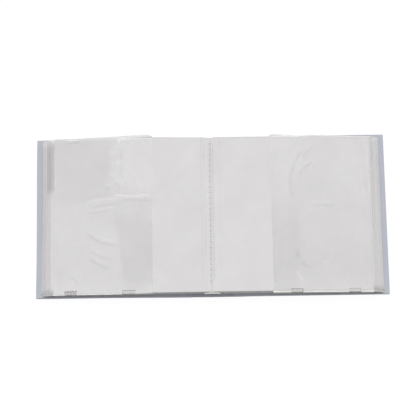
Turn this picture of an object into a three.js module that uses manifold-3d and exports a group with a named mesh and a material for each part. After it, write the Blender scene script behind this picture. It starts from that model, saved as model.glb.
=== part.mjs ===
// A hard-cover photo album with sewn leaves and clear slip-in pockets, lying open at its middle.
// Millimetres. +X runs to the right along the spread, +Y to the head, +Z up. The origin is under the
// middle of the spine, on the surface that the album lies on.
import * as THREE from "three";
import { mergeVertices } from "three/addons/utils/BufferGeometryUtils.js";
import Module from "manifold-3d";

const wasm = await Module();
wasm.setup();

// Case: two boards and a spine board in one covering
const coverSquare = 2.55; // cover past the leaves at head and at tail
const coverReach = 176; // middle of the spine to a cover's fore-edge
const hingeX = 12.8; // middle of the spine to the line where a cover folds
const hingeSlit = 0.45; // half the gap in the covering at that line
const jointWidth = 7.6; // bare covering between the spine and a board
const boardThick = 2.2;
const spineBoardThick = 2;
const coveringThick = 0.3;
const turnIn = 15; // covering folded over onto the inside
const edgeRound = 0.7; // outer radius of the covering round a board's edge
const spineBoardInset = 0.9; // spine board's side to the end of its covering
const linerThick = 0.15; // pastedowns and the liner of the spine
const pastedownMargin = 3.5; // covering left to see round a pastedown
const glueGap = 0.05; // between papers that lie on each other

// Leaves
const leafLength = 157.5; // fold to fore-edge
const leafHeight = 160.4;
const paperThick = 0.17;
const gatherings = 4; // on each side of the open spread
const sheetsPerGathering = 3; // each sheet is two leaves
const leafPitch = 0.355; // one leaf to the next, at the spine
const gatheringGap = 0.06; // more than the pitch, between gatherings
const blockClear = 0.1; // pastedown to the first leaf
const pageClear = 0.34; // top of the gathered leaves to the open pages
const lowestFoldX = 13.5; // fold of the lowest leaf
const highestFoldX = 3.2; // where the line of the folds meets the top of the block
const foreEdgeShare = 0.653; // height of the block at its fore-edge, as a share of its height at the spine
const swellShare = 0.126; // how much the middle of the leaves stands proud of a straight slope

// Open spread
const pageSpineX = 0.4; // middle of the spine to the edge of the open pages
const rightPageOut = 2.2; // how much further out the right page's fore-edge lies than the left one's
const stitchFoldX = 2.5; // where the right leaf bends up from its sewn strip
const innerScoreX = 7.3;
const outerScoreX = 9.5;
const scoreGap = 0.3; // opening at a fold line
const scorePlaces = [6.9, 9.2]; // pressed lines in the left page, from the middle of the spine
const scoreDepth = 0.06;
const scoreHalf = 0.3; // half the width of a pressed line
const filmThick = 0.06;
const filmGap = 0.03; // film to paper
const filmPast = 1.4; // film past the paper, at head and at tail
const leftMouthX = 59.3; // open mouth of a pocket, from the middle of the spine
const rightMouthX = 60.6;
const weldInset = 0.35; // paper's edge to the weld of the pocket
const notchWidth = 12.5;
const notchDepth = 0.9;
const notchPlaces = [83, 141.2]; // notch centres from the middle of the spine

// Sewing
const stitchPitch = 5.7;
const stitchOver = 3; // what shows of a stitch
const threadRadius = 0.2;
const threadClear = 0.03; // thread to paper
const threadSides = 5;
const holeHalf = 0.42; // half the side of a needle hole
const sewingMargin = 5; // leaf's end to the first stitch
const leftStitchX = 1.8;
const rightStitchX = 1.5;

// Lining on the back of the block
const liningHalfWidth = 8;
const liningThick = 0.25;
const liningPast = 0.9; // past the leaves at head and tail
const liningUnder = 1.9; // top of the open pages' film to the top of the lining
const liningDrop = 4; // middle of its arch to its sides

const leafSteps = 12; // straight runs along a leaf
const foldSteps = 5; // straight runs round a fold

const coverHeight = leafHeight + 2 * coverSquare; // head to tail
const coverTop = 2 * coveringThick + boardThick + 2 * glueGap;
const coverInside = coverTop + glueGap + linerThick;
const boardStart = hingeX + jointWidth;
const spineHalf = hingeX - hingeSlit;
const spineBoardHalf = spineHalf - spineBoardInset;
const spineTop = 2 * coveringThick + spineBoardThick + 2 * glueGap;
const gatheringThick = 2 * sheetsPerGathering * leafPitch;
const gatheredHeight = gatherings * gatheringThick + (gatherings - 1) * gatheringGap;
const pageBottom = blockClear + gatheredHeight + pageClear;
const blockHeight = pageBottom + paperThick + filmGap + filmThick; // pastedown to the top of the film
const leftForeX = pageSpineX + leafLength;
const rightForeX = leftForeX + rightPageOut;
const liningTop = coverInside + blockHeight - liningUnder;
const threadBend = paperThick / 2 + threadClear + threadRadius;

const paints = {
  covering: { color: 0xb9bdc6, roughness: 0.75 },
  board: { color: 0x9c9488, roughness: 0.95 },
  paper: { color: 0xe4e2e1, roughness: 0.9 },
  film: { color: 0xdfe1e3, roughness: 0.15, transparent: true, opacity: 0.4 },
  thread: { color: 0xc9c8c6, roughness: 0.8 },
};

const album = new THREE.Group();

function addMesh(name, geometry, paint, mirrored = false) {
  const mesh = new THREE.Mesh(
    geometry,
    new THREE.MeshStandardMaterial({ metalness: 0, ...paints[paint] }),
  );
  mesh.name = name;
  if (mirrored) mesh.scale.x = -1;
  album.add(mesh);
}

// A geometry as a solid for cutting and joining, and back
function solid(geometry) {
  const bare = geometry.clone();
  bare.deleteAttribute("normal");
  bare.deleteAttribute("uv");
  const merged = mergeVertices(bare, 1e-4);
  return new wasm.Manifold(
    new wasm.Mesh({
      numProp: 3,
      vertProperties: new Float32Array(merged.attributes.position.array),
      triVerts: new Uint32Array(merged.index.array),
    }),
  );
}

function geometryOf(made) {
  const mesh = made.getMesh();
  const geometry = new THREE.BufferGeometry();
  geometry.setAttribute("position", new THREE.BufferAttribute(mesh.vertProperties, 3));
  geometry.setIndex(new THREE.BufferAttribute(mesh.triVerts, 1));
  geometry.computeVertexNormals();
  return geometry;
}

function box(x0, x1, y0, y1, z0, z1) {
  return new THREE.BoxGeometry(x1 - x0, y1 - y0, z1 - z0).translate(
    (x0 + x1) / 2,
    (y0 + y1) / 2,
    (z0 + z1) / 2,
  );
}

// An outline in (x, z) carried along Y
function carryAlongY(shape, y0, y1) {
  return new THREE.ExtrudeGeometry(shape, {
    depth: y1 - y0,
    bevelEnabled: false,
    curveSegments: 4,
  })
    .rotateX(Math.PI / 2)
    .translate(0, y1, 0);
}

// An outline in (-y, z) carried along X
function carryAlongX(shape, x0, x1) {
  return carryAlongY(shape, x0, x1).rotateZ(-Math.PI / 2);
}

// A thin layer between two lines of [x, z] points with equal counts, carried along Y. The first line has
// the layer on its left.
function ribbonAlongY([near, far], y0, y1) {
  const loop = [...near, ...[...far].reverse()];
  const count = loop.length;
  const positions = [y0, y1].flatMap((y) => loop.flatMap(([x, z]) => [x, y, z]));
  const index = [];
  for (let i = 0; i < count; i++) {
    const next = (i + 1) % count;
    index.push(i, next + count, next, i, i + count, next + count);
  }
  for (let i = 0; i + 1 < near.length; i++) {
    const across = count - 1 - i;
    for (const [a, b, c] of [
      [i, i + 1, across - 1],
      [i, across - 1, across],
    ])
      index.push(a, b, c, a + count, c + count, b + count);
  }
  const geometry = new THREE.BufferGeometry();
  geometry.setAttribute("position", new THREE.Float32BufferAttribute(positions, 3));
  geometry.setIndex(index);
  geometry.computeVertexNormals();
  return geometry;
}

// A rectangle with round corners, as a shape
function roundedShape(left, right, bottom, top, radius) {
  const shape = new THREE.Shape();
  shape.moveTo(left + radius, bottom);
  shape.lineTo(right - radius, bottom);
  shape.absarc(right - radius, bottom + radius, radius, -Math.PI / 2, 0);
  shape.lineTo(right, top - radius);
  shape.absarc(right - radius, top - radius, radius, 0, Math.PI / 2);
  shape.lineTo(left + radius, top);
  shape.absarc(left + radius, top - radius, radius, Math.PI / 2, Math.PI);
  shape.lineTo(left, bottom + radius);
  shape.absarc(left + radius, bottom + radius, radius, Math.PI, 1.5 * Math.PI);
  return shape;
}

// Case

// Covering round three edges of a cover board, with the bare joint strip beside the spine. The block is
// rounded both ways, then hollowed for the board and opened inside the turn-ins.
function coverCovering() {
  const halfHeight = coverHeight / 2;
  const inner = coveringThick;
  const alongY = carryAlongY(
    roundedShape(boardStart - 2 * edgeRound, coverReach, 0, coverTop, edgeRound),
    -halfHeight,
    halfHeight,
  );
  const alongX = carryAlongX(
    roundedShape(-halfHeight, halfHeight, 0, coverTop, edgeRound),
    boardStart,
    coverReach,
  );
  const hollow = box(
    boardStart - 3 * edgeRound,
    coverReach - inner,
    inner - halfHeight,
    halfHeight - inner,
    inner,
    coverTop - inner,
  );
  const window = box(
    boardStart - 3 * edgeRound,
    coverReach - turnIn,
    turnIn - halfHeight,
    halfHeight - turnIn,
    inner,
    coverTop + 1,
  );
  const joint = box(
    hingeX + hingeSlit,
    boardStart + edgeRound,
    -halfHeight,
    halfHeight,
    0,
    inner,
  );
  let made = solid(alongY).intersect(solid(alongX)).subtract(solid(hollow));
  made = made.subtract(solid(window)).add(solid(joint));
  for (const end of [-1, 1]) {
    const folded = box(
      hingeX + hingeSlit,
      boardStart + edgeRound,
      Math.min(end * halfHeight, end * (halfHeight - turnIn)),
      Math.max(end * halfHeight, end * (halfHeight - turnIn)),
      0,
      2 * inner,
    );
    made = made.add(solid(folded));
  }
  return geometryOf(made);
}

function coverBoard() {
  const slack = coveringThick + glueGap;
  return box(
    boardStart + edgeRound + glueGap,
    coverReach - slack,
    slack - coverHeight / 2,
    coverHeight / 2 - slack,
    slack,
    slack + boardThick,
  );
}

function pastedown() {
  const halfHeight = coverHeight / 2 - pastedownMargin;
  return box(
    boardStart,
    coverReach - pastedownMargin,
    -halfHeight,
    halfHeight,
    coverTop + glueGap,
    coverInside,
  );
}

// Covering under the spine board, folded over its ends at head and tail
function spineCovering() {
  const halfHeight = coverHeight / 2;
  const inner = coveringThick;
  const outer = carryAlongX(
    roundedShape(-halfHeight, halfHeight, 0, spineTop, edgeRound),
    -spineHalf,
    spineHalf,
  );
  const hollow = box(
    -spineHalf - 1,
    spineHalf + 1,
    inner - halfHeight,
    halfHeight - inner,
    inner,
    spineTop - inner,
  );
  const window = box(
    -spineHalf - 1,
    spineHalf + 1,
    turnIn - halfHeight,
    halfHeight - turnIn,
    inner,
    spineTop + 1,
  );
  return geometryOf(solid(outer).subtract(solid(hollow)).subtract(solid(window)));
}

function spineBoard() {
  const slack = coveringThick + glueGap;
  return box(
    -spineBoardHalf,
    spineBoardHalf,
    slack - coverHeight / 2,
    coverHeight / 2 - slack,
    slack,
    slack + spineBoardThick,
  );
}

function spineLiner() {
  const halfHeight = coverHeight / 2 - pastedownMargin;
  const bottom = spineTop + glueGap;
  return box(-spineBoardHalf, spineBoardHalf, -halfHeight, halfHeight, bottom, bottom + linerThick);
}

// Leaf block

// How high the block stands at x, as a share of its height at the spine: a straight fall to the
// fore-edge with one low swell of half a sine wave on it
function blockShare(x) {
  const along = x / leftForeX;
  return 1 - (1 - foreEdgeShare) * along + swellShare * Math.sin(Math.PI * along);
}

// Height at x of a layer that lies "height" above the pastedown at the spine
function layerZ(x, height) {
  return coverInside + height * blockShare(x);
}

// Fold line of a leaf at this height: the folds lean in over the spine
function foldX(height) {
  return lowestFoldX - ((lowestFoldX - highestFoldX) * height) / blockHeight;
}

// One folded sheet: two leaves at equal heights below and above "middle", joined by a round fold. Each
// face of the paper is a line in along the upper leaf, round the fold and out along the lower leaf.
function foldedSheet(middle, radius) {
  const faces = [1, -1].map((outward) => {
    const reach = radius + (outward * paperThick) / 2;
    const line = [];
    const addLeaf = (up, step) => {
      const height = middle + up * radius;
      const lift = (up * outward * paperThick) / 2;
      const x = foldX(height + lift) + (leafLength * step) / leafSteps;
      line.push([x, layerZ(x, height) + lift]);
    };
    for (let i = leafSteps; i > 0; i--) addLeaf(1, i);
    for (let i = 0; i <= foldSteps; i++) {
      const angle = Math.PI / 2 + (Math.PI * i) / foldSteps;
      const height = middle + reach * Math.sin(angle);
      const x = foldX(height) + reach * Math.cos(angle);
      line.push([x, layerZ(x, height)]);
    }
    for (let i = 1; i <= leafSteps; i++) addLeaf(-1, i);
    return line;
  });
  return ribbonAlongY(faces, -leafHeight / 2, leafHeight / 2);
}

// Sheets from the lowest up: in a gathering, the first is the outermost
function sheetPlaces() {
  const places = [];
  for (let g = 0; g < gatherings; g++) {
    const middle = blockClear + g * (gatheringThick + gatheringGap) + gatheringThick / 2;
    for (let s = 0; s < sheetsPerGathering; s++)
      places.push([middle, (sheetsPerGathering - s - 0.5) * leafPitch]);
  }
  return places;
}

// Open spread

// The two faces of a thin layer from x0 to x1 that follows the block at "base", between two lifts off it
function layerFaces(x0, x1, base, low, high) {
  const count = Math.max(1, Math.round((leafSteps * (x1 - x0)) / leafLength));
  const places = Array.from({ length: count + 1 }, (_, i) => x0 + ((x1 - x0) * i) / count);
  return [low, high].map((lift) => places.map((x) => [x, layerZ(x, base) + lift]));
}

// A strip of paper, with V-shaped lines pressed into its upper face
function paperStrip(x0, x1, pressed = []) {
  const faces = layerFaces(x0, x1, pageBottom, 0, paperThick);
  for (const line of pressed) {
    faces.forEach((face, upper) => {
      for (const [away, depth] of [
        [-scoreHalf, 0],
        [0, upper * scoreDepth],
        [scoreHalf, 0],
      ]) {
        const x = line + away;
        face.push([x, layerZ(x, pageBottom) + upper * paperThick - depth]);
      }
    });
  }
  faces.forEach((face) => face.sort((a, b) => a[0] - b[0]));
  return ribbonAlongY(faces, -leafHeight / 2, leafHeight / 2);
}

// Clear pocket round a page: one film folded round the fore-edge, welded past the paper at head and tail,
// open towards the spine, with notches in its welded margins
function pocketFilm(mouthX, pageForeX) {
  const half = leafHeight / 2;
  const filmEnd = half + filmPast;
  const wallY = half + weldInset;
  const low = -filmGap - filmThick;
  const high = paperThick + filmGap + filmThick;
  const foreX = pageForeX + filmGap + filmThick;
  const skin = (x0, from, to) => layerFaces(x0, foreX, pageBottom, from, to);
  const upper = skin(mouthX, high - filmThick, high);
  const lower = skin(mouthX, low, low + filmThick);
  const fold = skin(foreX - filmThick, low, high);
  const wall = skin(mouthX, low, high);
  const weld = skin(mouthX, paperThick / 2 - filmThick, paperThick / 2 + filmThick);
  const pieces = [upper, lower, fold].map((faces) => ribbonAlongY(faces, -wallY, wallY));
  for (const end of [-1, 1]) {
    const between = (faces, y0, y1) =>
      ribbonAlongY(faces, Math.min(end * y0, end * y1), Math.max(end * y0, end * y1));
    pieces.push(between(wall, wallY, wallY + filmThick));
    pieces.push(between(weld, wallY, filmEnd));
  }
  let made = pieces.map(solid).reduce((all, piece) => all.add(piece));
  for (const x of notchPlaces) {
    for (const y of [-filmEnd, filmEnd]) {
      const x0 = x - notchWidth / 2;
      const notch = box(
        x0,
        x0 + notchWidth,
        y - notchDepth,
        y + notchDepth,
        0,
        2 * coverInside + blockHeight,
      );
      made = made.subtract(solid(notch));
    }
  }
  return geometryOf(made);
}

// One film on the leaf below the right page
function nextFilm() {
  const topLeaf = blockClear + gatheredHeight - leafPitch / 2;
  const low = paperThick / 2 + filmGap;
  const half = leafHeight / 2 + filmPast;
  const faces = layerFaces(rightMouthX, rightForeX, topLeaf, low, low + filmThick);
  return ribbonAlongY(faces, -half, half);
}

// Sewing: the thread's middle line in (y, z), over and under the paper in turn. Each change of side is
// an S of two quarter turns.
function stitchPath(z, start, count) {
  const points = [];
  for (let i = 0; i < count; i++) {
    const y = start + i * stitchPitch;
    for (const [from, down] of [
      [y - stitchOver / 2, false],
      [y + stitchOver / 2, true],
    ]) {
      const middle = from + (down ? threadBend : -threadBend);
      for (const turn of [-90, -45, 0, 45, 90]) {
        const angle = THREE.MathUtils.degToRad(turn);
        const along = Math.sign(turn) * threadBend * (1 - Math.cos(angle));
        const climb = (down ? -1 : 1) * threadBend * Math.sin(angle);
        const slope = (down ? -1 : 1) * (Math.PI / 2 - Math.abs(angle));
        points.push({ y: middle + along, height: z + climb, slope, hole: turn === 0 });
      }
    }
  }
  return points;
}

// A round tube on that line, with flat ends
function threadTube(x, path) {
  const positions = [];
  const index = [];
  const ring = (k, i) => k * threadSides + (i % threadSides);
  path.forEach(({ y, height, slope }) => {
    for (let i = 0; i < threadSides; i++) {
      const angle = (2 * Math.PI * i) / threadSides;
      const across = threadRadius * Math.cos(angle);
      const up = threadRadius * Math.sin(angle);
      positions.push(x + across, y - up * Math.sin(slope), height + up * Math.cos(slope));
    }
  });
  for (let k = 0; k + 1 < path.length; k++) {
    for (let i = 0; i < threadSides; i++) {
      index.push(ring(k, i), ring(k + 1, i), ring(k, i + 1));
      index.push(ring(k, i + 1), ring(k + 1, i), ring(k + 1, i + 1));
    }
  }
  const last = path.length - 1;
  for (let i = 1; i + 1 < threadSides; i++) {
    index.push(ring(0, 0), ring(0, i), ring(0, i + 1));
    index.push(ring(last, 0), ring(last, i + 1), ring(last, i));
  }
  const geometry = new THREE.BufferGeometry();
  geometry.setAttribute("position", new THREE.Float32BufferAttribute(positions, 3));
  geometry.setIndex(index);
  geometry.computeVertexNormals();
  return geometry;
}

// A column of stitches through a strip of the open spread: the strip with its needle holes, and the thread
function sewnStrip(x0, x1, stitchX, shift, pressed = []) {
  const room = leafHeight - 2 * sewingMargin - Math.abs(shift);
  const count = Math.floor(room / stitchPitch);
  const start = (-(count - 1) * stitchPitch) / 2 + shift;
  const z = layerZ(stitchX, pageBottom) + paperThick / 2;
  const path = stitchPath(z, start, count);
  let strip = solid(paperStrip(x0, x1, pressed));
  for (const { y } of path.filter((point) => point.hole)) {
    const hole = box(
      stitchX - holeHalf,
      stitchX + holeHalf,
      y - holeHalf,
      y + holeHalf,
      z - 1,
      z + 1,
    );
    strip = strip.subtract(solid(hole));
  }
  return { strip: geometryOf(strip), thread: threadTube(stitchX, path) };
}

// Lining glued to the back of the block: a low arch over the hollow of the spine
function backLining() {
  const steps = 10;
  const faces = [-liningThick, 0].map((lift) =>
    Array.from({ length: steps + 1 }, (_, i) => {
      const x = liningHalfWidth * ((2 * i) / steps - 1);
      return [x, liningTop - liningDrop * (x / liningHalfWidth) ** 2 + lift];
    }),
  );
  const half = leafHeight / 2 + liningPast;
  return ribbonAlongY(faces, -half, half);
}

// Assembly

addMesh("spine_board", spineBoard(), "board");
addMesh("spine_covering", spineCovering(), "covering");
addMesh("spine_liner", spineLiner(), "paper");
addMesh("back_lining", backLining(), "paper");

for (const [side, mirrored, mouthX, foreX] of [
  ["left", true, leftMouthX, leftForeX],
  ["right", false, rightMouthX, rightForeX],
]) {
  addMesh(side + "_board", coverBoard(), "board", mirrored);
  addMesh(side + "_covering", coverCovering(), "covering", mirrored);
  addMesh(side + "_pastedown", pastedown(), "paper", mirrored);
  sheetPlaces().forEach(([middle, radius], i) => {
    const number = String(i + 1).padStart(2, "0");
    addMesh(side + "_sheet_" + number, foldedSheet(middle, radius), "paper", mirrored);
  });
  addMesh(side + "_pocket_film", pocketFilm(mouthX, foreX), "film", mirrored);
}

const leftPage = sewnStrip(pageSpineX, leftForeX, leftStitchX, 0, scorePlaces);
addMesh("left_page", leftPage.strip, "paper", true);
addMesh("left_stitching", leftPage.thread, "thread", true);

const rightFold = sewnStrip(
  pageSpineX,
  stitchFoldX - scoreGap / 2,
  rightStitchX,
  stitchPitch / 2,
);
addMesh("right_fold", rightFold.strip, "paper");
addMesh("right_stitching", rightFold.thread, "thread");
const innerGuard = paperStrip(stitchFoldX + scoreGap / 2, innerScoreX - scoreGap / 2);
addMesh("right_guard_inner", innerGuard, "paper");
const outerGuard = paperStrip(innerScoreX + scoreGap / 2, outerScoreX - scoreGap / 2);
addMesh("right_guard_outer", outerGuard, "paper");
addMesh("right_page", paperStrip(outerScoreX + scoreGap / 2, rightForeX), "paper");
addMesh("right_next_film", nextFilm(), "film");

export default album;
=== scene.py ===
# Looks of the open photo album: case, leaf blocks, open spread with its clear pockets, sewing and studio.
import math
import bmesh
import bpy
import numpy as np
from mathutils import Matrix, Vector


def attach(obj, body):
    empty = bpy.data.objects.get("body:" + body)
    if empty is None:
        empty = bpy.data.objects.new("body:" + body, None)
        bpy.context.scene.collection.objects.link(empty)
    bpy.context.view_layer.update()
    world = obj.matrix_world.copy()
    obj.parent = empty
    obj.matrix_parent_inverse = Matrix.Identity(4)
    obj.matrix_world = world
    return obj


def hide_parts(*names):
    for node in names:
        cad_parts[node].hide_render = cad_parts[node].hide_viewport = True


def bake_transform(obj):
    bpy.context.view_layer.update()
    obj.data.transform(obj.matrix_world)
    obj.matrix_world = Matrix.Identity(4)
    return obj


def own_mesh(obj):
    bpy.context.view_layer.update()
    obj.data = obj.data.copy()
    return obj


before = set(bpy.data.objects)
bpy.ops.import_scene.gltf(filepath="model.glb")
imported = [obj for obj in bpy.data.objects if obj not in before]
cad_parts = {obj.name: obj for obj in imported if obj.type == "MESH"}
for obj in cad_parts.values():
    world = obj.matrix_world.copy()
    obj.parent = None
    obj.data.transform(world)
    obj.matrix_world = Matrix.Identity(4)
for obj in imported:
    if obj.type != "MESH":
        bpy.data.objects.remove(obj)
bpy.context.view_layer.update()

print("frame loaded:", len(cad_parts), "nodes")
scene = bpy.context.scene
scene.view_settings.view_transform = "Standard"
draw = np.random.default_rng(11)

# Sizes are in millimetres until a mesh is made
millimetre = 0.001
mergeDistance = 1e-6  # metres
sides = (("left", True), ("right", False))  # name, and whether its x is mirrored
block = {
    "inside": 3.1,  # top of the pastedown
    "height": 9.4,  # at the spine
    "foreShare": 0.653,  # share of the height that is left at the fore-edge
    "swell": 0.126,
    "span": 157.9,
    "lowFold": 13.5,  # x of the lowest fold and of the highest
    "highFold": 3.2,
    "leafLength": 157.5,
    "halfHeight": 80.2,
    "paper": 0.17,
    "pitch": 0.355,  # from leaf to leaf
    "gatheringGap": 0.06,
    "clear": 0.1,
    "gatherings": 4,
    "sheets": 3,  # in a gathering
}
pageBottom = 9.14  # height of the open page's underside in the block
gatheringThick = 2 * block["sheets"] * block["pitch"]


# Mesh makers

def makePiece(name, points, faces, values=None, merge=False):
    # Points in millimetres as an (n, 3) array, faces as an (m, 4) array; values are numbers per point.
    mesh = bpy.data.meshes.new(name)
    mesh.from_pydata((points * millimetre).tolist(), [], faces.tolist())
    for key, numbers in (values or {}).items():
        attribute = mesh.attributes.new(key, "FLOAT", "POINT")
        attribute.data.foreach_set("value", np.ravel(numbers).astype(np.float32))
    if merge:
        work = bmesh.new()
        work.from_mesh(mesh)
        bmesh.ops.remove_doubles(work, verts=work.verts, dist=mergeDistance)
        work.to_mesh(mesh)
        work.free()
    mesh.shade_smooth()
    mesh.update()
    piece = bpy.data.objects.new(name, mesh)
    scene.collection.objects.link(piece)
    return piece


def gridFaces(rows, columns):
    # Quads of a grid with the points stored row by row; the normal is row direction x column direction.
    a = np.arange(rows - 1)[:, None] * columns + np.arange(columns - 1)
    b = a + columns
    return np.stack([a, b, b + 1, a + 1], -1).reshape(-1, 4)


def closedSheet(name, upper, lower, values=None, flip=False):
    # Two grids of equal size, (rows, columns, 3), and a wall round their borders.
    rows, columns = upper.shape[:2]
    count = rows * columns
    top = gridFaces(rows, columns)
    index = np.arange(count).reshape(rows, columns)
    border = np.concatenate([index[0, :-1], index[:-1, -1], index[-1, :0:-1], index[:0:-1, 0]])
    following = np.roll(border, -1)
    wall = np.stack([border, following, following + count, border + count], -1)
    faces = np.concatenate([top, top[:, ::-1] + count, wall])
    if flip:
        faces = faces[:, ::-1]
    points = np.concatenate([upper.reshape(-1, 3), lower.reshape(-1, 3)])
    doubled = {key: np.tile(np.ravel(v), 2) for key, v in (values or {}).items()}
    return makePiece(name, points, faces, doubled)


def joined(*axes):
    # Points of a grid from arrays of x, y and z that fit together
    return np.stack(np.broadcast_arrays(*axes), -1)


def sideSheet(name, mirrored, x, y, upperZ, lowerZ, values=None):
    # A closed sheet between two heights; mirrored puts it on the left side
    x = -x if mirrored else x
    return closedSheet(name, joined(x, y, upperZ), joined(x, y, lowerZ), values, flip=mirrored)


def gridPiece(name, mirrored, grids, values, merge=False):
    # A piece of grids of points, each (rows, columns, 3); mirrored puts it on the left side
    starts = np.cumsum([0] + [grid[..., 0].size for grid in grids[:-1]])
    faces = np.concatenate([gridFaces(*grid.shape[:2]) + start for grid, start in zip(grids, starts)])
    points = np.concatenate([grid.reshape(-1, 3) for grid in grids])
    if mirrored:
        points = points * [-1, 1, 1]
        faces = faces[:, ::-1]
    return makePiece(name, points, faces, values, merge)


def ease(low, high, x):
    # A smooth step from 0 at low to 1 at high
    t = np.clip((x - low) / (high - low), 0, 1)
    return t * t * (3 - 2 * t)


def bell(x, width):
    return np.exp(-((x / width) ** 2))


def ripple(x, y, waves):
    # A sum of slow sine waves, each (length, direction in degrees, height, phase).
    total = np.zeros(np.broadcast(x, y).shape)
    for length, turn, height, phase in waves:
        a = math.radians(turn)
        total += height * np.sin(2 * np.pi * (x * math.cos(a) + y * math.sin(a)) / length + phase)
    return total


# The block's own shape

def blockShare(x):
    # Straight fall from the spine to the fore-edge with half a sine wave on it.
    along = x / block["span"]
    return 1 - (1 - block["foreShare"]) * along + block["swell"] * np.sin(np.pi * along)


def layerZ(x, height):
    return block["inside"] + height * blockShare(x)


def foldX(height):
    return block["lowFold"] - (block["lowFold"] - block["highFold"]) * height / block["height"]


# Colours and materials

colours = {
    "coverDark": (0.434, 0.458, 0.515),
    "coverPale": (0.530, 0.552, 0.610),
    "coverSmudge": (0.66, 0.67, 0.70),
    "coverWorn": (0.70, 0.70, 0.71),
    "boardDark": (0.24, 0.215, 0.185),
    "boardPale": (0.40, 0.37, 0.33),
    # the film's tone between its darkest and palest painted reflection
    "filmReflectionDark": (0.15, 0.14, 0.155),
    "filmReflectionPale": (1.0, 0.995, 1.0),
    # milky welds, and the painted highlight along the film's folded fore-edge
    "filmWeldAndHighlight": (0.90, 0.895, 0.885),
    # crimped marks, and the painted shadow along their edges
    "filmCrimpShadow": (0.27, 0.25, 0.235),
    # painted shade in the grooves of the thread, and its crests
    "threadGrooveShade": (0.52, 0.515, 0.51),
    "threadPale": (0.76, 0.755, 0.75),
    "liningDark": (0.66, 0.65, 0.62),
    "liningPale": (0.86, 0.85, 0.82),
    "sheetPale": (0.840, 0.826, 0.835),
    "sheetDark": (0.760, 0.746, 0.750),
    "sheetEdge": (0.66, 0.645, 0.625),
    "sheetShade": (0.56, 0.535, 0.555),
    "pagePale": (0.800, 0.786, 0.794),
    "pageDark": (0.720, 0.706, 0.713),
    # painted shade along the score lines and down the gutter
    "pageScoreShade": (0.50, 0.49, 0.50),
    # painted shade in the needle holes
    "pageHoleShade": (0.16, 0.15, 0.155),
    # darker and warmer along the pages' head and tail edges
    "pageEdgeTone": (0.62, 0.605, 0.59),
    "pastePale": (0.74, 0.735, 0.73),
    "pasteDark": (0.67, 0.66, 0.655),
    "floorBounce": (0.8, 0.8, 0.8),  # where the floor gives light, and where it is seen
    "floorSeen": (0.08, 0.08, 0.08),
    "white": (1, 1, 1),
}


class Graph:
    # Short calls for one node tree. A value is a socket to link, the name of a colour or a number.

    def __init__(self, tree):
        self.tree = tree

    def node(self, kind, **settings):
        made = self.tree.nodes.new("ShaderNode" + kind)
        for key, value in settings.items():
            setattr(made, key, value)
        return made

    def fill(self, node, values):
        for key, value in values.items():
            socket = node.inputs[key]
            if isinstance(value, bpy.types.NodeSocket):
                self.tree.links.new(value, socket)
            elif isinstance(value, str):
                socket.default_value = (*colours[value], 1)
            else:
                socket.default_value = value

    def math(self, operation, a, b, clamp=False):
        made = self.node("Math", operation=operation, use_clamp=clamp)
        self.fill(made, {0: a, 1: b})
        return made.outputs[0]

    def plus(self, a, b, clamp=False):
        return self.math("ADD", a, b, clamp)

    def times(self, a, b, clamp=False):
        return self.math("MULTIPLY", a, b, clamp)

    def mix(self, share, a, b):
        made = self.node("Mix", data_type="RGBA")
        self.fill(made, {"Factor": share, 6: a, 7: b})
        return made.outputs[2]

    def mapRange(self, value, low, high, toLow=0.0, toHigh=1.0):
        made = self.node("MapRange")
        ends = {"From Min": low, "From Max": high, "To Min": toLow, "To Max": toHigh}
        self.fill(made, {"Value": value, **ends})
        return made.outputs[0]

    def noise(self, where, scale, detail, rough):
        made = self.node("TexNoise")
        self.fill(made, {"Vector": where, "Scale": scale, "Detail": detail, "Roughness": rough})
        return made.outputs["Fac"]

    def attribute(self, name):
        return self.node("Attribute", attribute_name=name, attribute_type="GEOMETRY").outputs["Fac"]

    def stretched(self, where, scale):
        made = self.node("Mapping")
        self.fill(made, {"Vector": where, "Scale": scale})
        return made.outputs["Vector"]

    def bump(self, height, strength, distance):
        made = self.node("Bump")
        self.fill(made, {"Strength": strength, "Distance": distance, "Height": height})
        return made.outputs["Normal"]


def paperFibreGroup():
    # Mottled paper: long thin fibres in two directions over slow cloudiness.
    tree = bpy.data.node_groups.new("paper_fibre", "ShaderNodeTree")
    sockets = [("INPUT", "Vector", "Vector"), ("INPUT", "Fibre", "Float"), ("INPUT", "Cloud", "Float"),
               ("OUTPUT", "Tone", "Float"), ("OUTPUT", "Height", "Float")]
    for way, name, kind in sockets:
        tree.interface.new_socket(name=name, in_out=way, socket_type="NodeSocket" + kind)
    source, result = tree.nodes.new("NodeGroupInput").outputs, tree.nodes.new("NodeGroupOutput")
    g = Graph(tree)
    where = source["Vector"]
    one = g.noise(g.stretched(where, (900, 2600, 900)), 1.0, 3.0, 0.6)
    two = g.noise(g.stretched(where, (2600, 900, 900)), 1.0, 3.0, 0.6)
    fibre = g.plus(g.plus(one, two), -1.0)
    cloud = g.plus(g.noise(where, 45.0, 3.0, 0.55), -0.5)
    tone = g.plus(g.times(fibre, source["Fibre"]), g.times(cloud, source["Cloud"]))
    g.fill(result, {"Tone": tone, "Height": fibre})
    return tree


paperFibre = paperFibreGroup()


def newMaterial(name):
    material = bpy.data.materials.new(name)
    material.use_nodes = True
    g = Graph(material.node_tree)
    shader = next(n for n in g.tree.nodes if n.type == "BSDF_PRINCIPLED")
    return material, g, shader, g.node("TexCoord").outputs["Object"]


def paperMaterial(name, paper, marks=(), fibre=0.10, cloud=0.05):
    # Uncoated paper. Each mark is (attribute, colour, strength).
    material, g, shader, where = newMaterial(name)
    made = g.node("Group", node_tree=paperFibre)
    g.fill(made, {"Vector": where, "Fibre": fibre, "Cloud": cloud})
    tone = g.mix(g.plus(made.outputs["Tone"], 0.5, clamp=True), paper + "Dark", paper + "Pale")
    for attribute, colour, strength in marks:
        tone = g.mix(g.times(g.attribute(attribute), strength, clamp=True), tone, colour)
    normal = g.bump(made.outputs["Height"], 0.25, 0.00006)
    g.fill(shader, {"Base Color": tone, "Roughness": 0.86, "Specular IOR Level": 0.3, "Normal": normal})
    return material


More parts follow.
